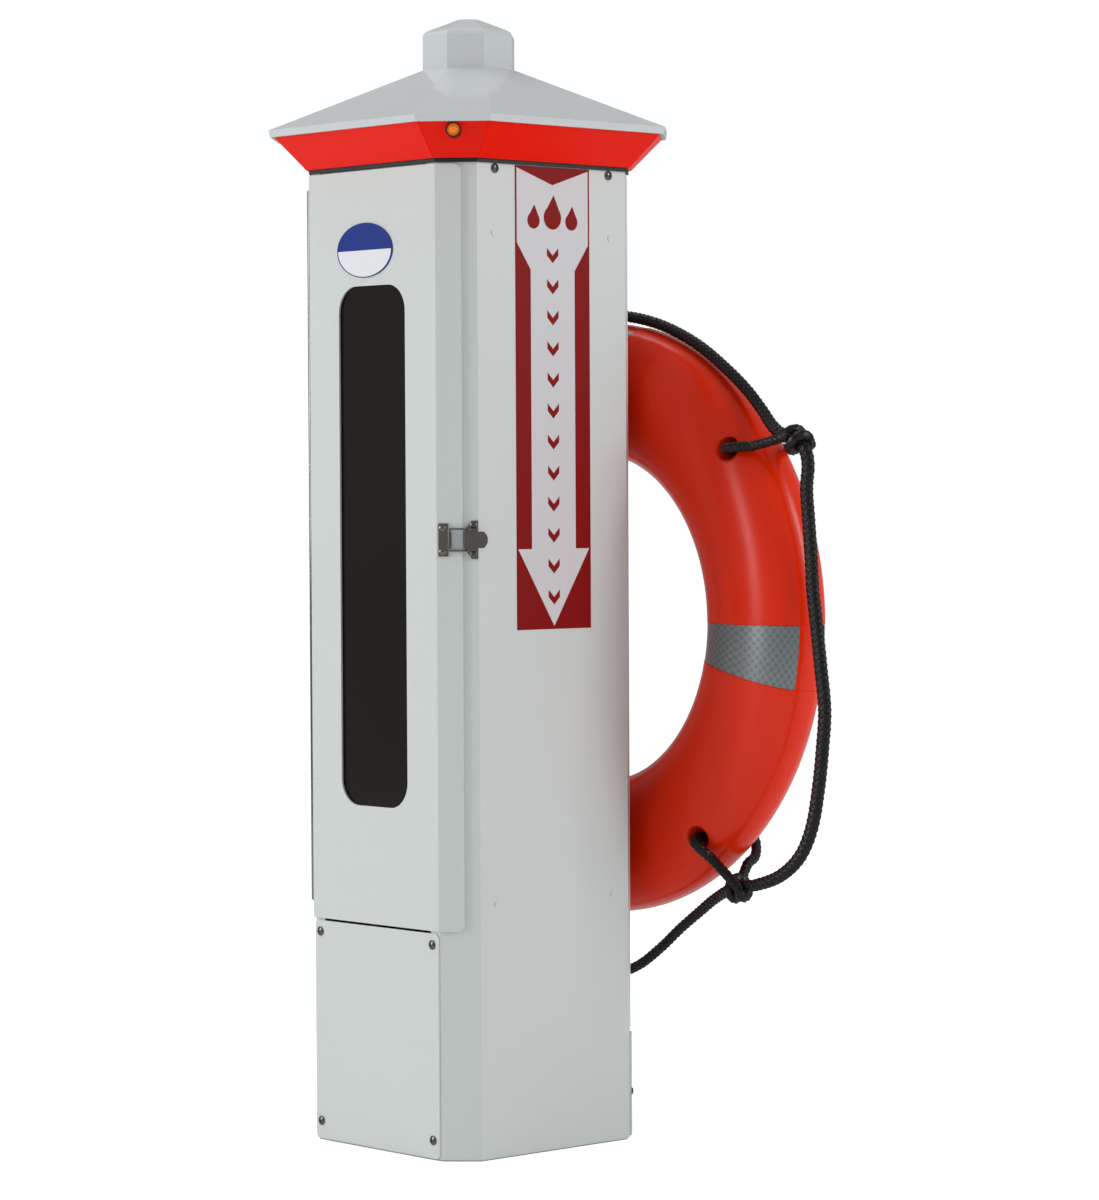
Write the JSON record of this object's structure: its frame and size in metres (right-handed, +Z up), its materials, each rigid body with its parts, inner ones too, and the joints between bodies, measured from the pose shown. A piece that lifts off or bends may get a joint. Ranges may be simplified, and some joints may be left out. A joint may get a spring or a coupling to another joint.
{
  "type": "dock safety station",
  "caption": "Eight-sided sheet-metal dock station: windowed door over an extinguisher, flared lit red lens under a pitched cap, life ring with grab line on a rear hook.",
  "frame": {"origin": "centre of the column's foot, on the ground plane", "axes": "+Z up, the door faces -Y, the sign is on the +X side and the life ring hangs at +Y"},
  "size_m": [0.6803, 0.397, 1.1245],
  "materials": {
    "cabinet_paint": "smooth pale grey powder coat, semi-gloss",
    "cap_paint": "glossy pale grey paint",
    "zinc_steel": "zinc-plated steel",
    "stainless": "stainless fasteners",
    "polished_stainless": "polished stainless steel",
    "hook_steel": "galvanised flat bar",
    "sign_red": "dark red vinyl film",
    "black_rubber": "black rubber",
    "board": "green circuit board",
    "led_white": "off-white plastic",
    "red_lens": "translucent red, lit from inside",
    "amber_lens": "amber, lit",
    "bezel": "dark red moulding",
    "smoked_pane": "dark smoked acrylic",
    "badge_enamel": "blue and white enamel",
    "ring_plastic": "orange-red moulded polyethylene",
    "ring_foam": "closed-cell foam filling",
    "reflective_tape": "silver-white reflective tape",
    "black_line": "black braided line",
    "extinguisher_paint": "glossy red enamel",
    "valve_alloy": "cast and pressed alloy",
    "gauge_plastic": "white dial, clear cover",
    "pin_steel": "steel wire",
    "sign_white": "white vinyl film"
  },
  "bodies": {
    "column": {"base_plate": "zinc_steel", "left_side_shell": "cabinet_paint", "right_side_shell": "cabinet_paint", "back_panel": "cabinet_paint", "back_panel_screws": "stainless", "access_cover": "cabinet_paint", "cover_screws": "stainless", "rear_access_cover": "cabinet_paint", "rear_cover_screws": "stainless", "compartment_shelf": "zinc_steel", "header_panel": "zinc_steel", "side_rivets": "cabinet_paint", "hinge_body_leaf": "polished_stainless", "hinge_pin": "polished_stainless", "latch_base": "polished_stainless", "latch_base_screws": "stainless", "latch_pin": "polished_stainless", "sign_panel": "sign_red", "sign_arrow": "sign_white", "head_deck": "zinc_steel", "head_screws": "stainless", "head_gasket": "black_rubber", "led_board": "board", "leds": "led_white", "led_driver": "zinc_steel", "terminal_block": "led_white", "driver_lead": "black_rubber", "lead_grommet": "black_rubber", "supply_conduit": "zinc_steel", "cap_posts": "zinc_steel", "lens_skirt": "red_lens", "cap_frame": "zinc_steel", "cap_frame_screws": "stainless", "lamp_bezel": "bezel", "lamp_lens": "amber_lens", "cap": "cap_paint", "ring_hanger": "hook_steel", "ring_hanger_bolts": "stainless", "ext_hanger": "zinc_steel"},
    "door": {"door_skin": "cabinet_paint", "hinge_door_leaf": "polished_stainless", "window_gasket": "black_rubber", "window_pane": "smoked_pane", "window_clips": "zinc_steel", "door_gasket": "black_rubber", "badge": "badge_enamel", "strike": "polished_stainless"},
    "latch_lever": {"latch_lever": "polished_stainless"},
    "latch_bail": {"latch_bail": "polished_stainless"},
    "life_ring": {"ring_shell": "ring_plastic", "ring_foam": "ring_foam", "reflective_bands": "reflective_tape", "grab_line": "black_line", "line_hitches": "black_line"},
    "extinguisher": {"ext_cylinder": "extinguisher_paint", "ext_valve": "valve_alloy", "ext_gauge": "gauge_plastic", "ext_hose": "black_rubber"},
    "squeeze_lever": {"ext_lever": "valve_alloy"},
    "pull_pin": {"ext_pull_pin": "pin_steel"}
  },
  "joints": [
    {"name": "door_hinge", "type": "hinge", "parent": "column", "child": "door", "pos_m": [-0.11262, -0.11462, 0.6], "axis": [0, 0, -1], "range_deg": [0, 110]},
    {"name": "lever_hinge", "type": "hinge", "parent": "column", "child": "latch_lever", "pos_m": [0.11976, -0.10931, 0.605], "axis": [0, 0, -1], "range_deg": [0, 105]},
    {"name": "bail_swing", "type": "hinge", "parent": "door", "child": "latch_bail", "pos_m": [0.10745, -0.1219, 0.605], "axis": [0, 0, -1], "range_deg": [0, 60]},
    {"name": "ring_lift", "type": "slide", "parent": "column", "child": "life_ring", "axis": [0, 0, 1], "range_m": [0, 0.1]},
    {"name": "extinguisher_lift", "type": "slide", "parent": "column", "child": "extinguisher", "axis": [0, 0, 1], "range_m": [0, 0.025]},
    {"name": "squeeze_hinge", "type": "hinge", "parent": "extinguisher", "child": "squeeze_lever", "pos_m": [0, 0.058, 0.742], "axis": [1, 0, 0], "range_deg": [0, 9]},
    {"name": "pin_pull", "type": "slide", "parent": "extinguisher", "child": "pull_pin", "axis": [1, 0, 0], "range_m": [0, 0.03]}
  ]
}
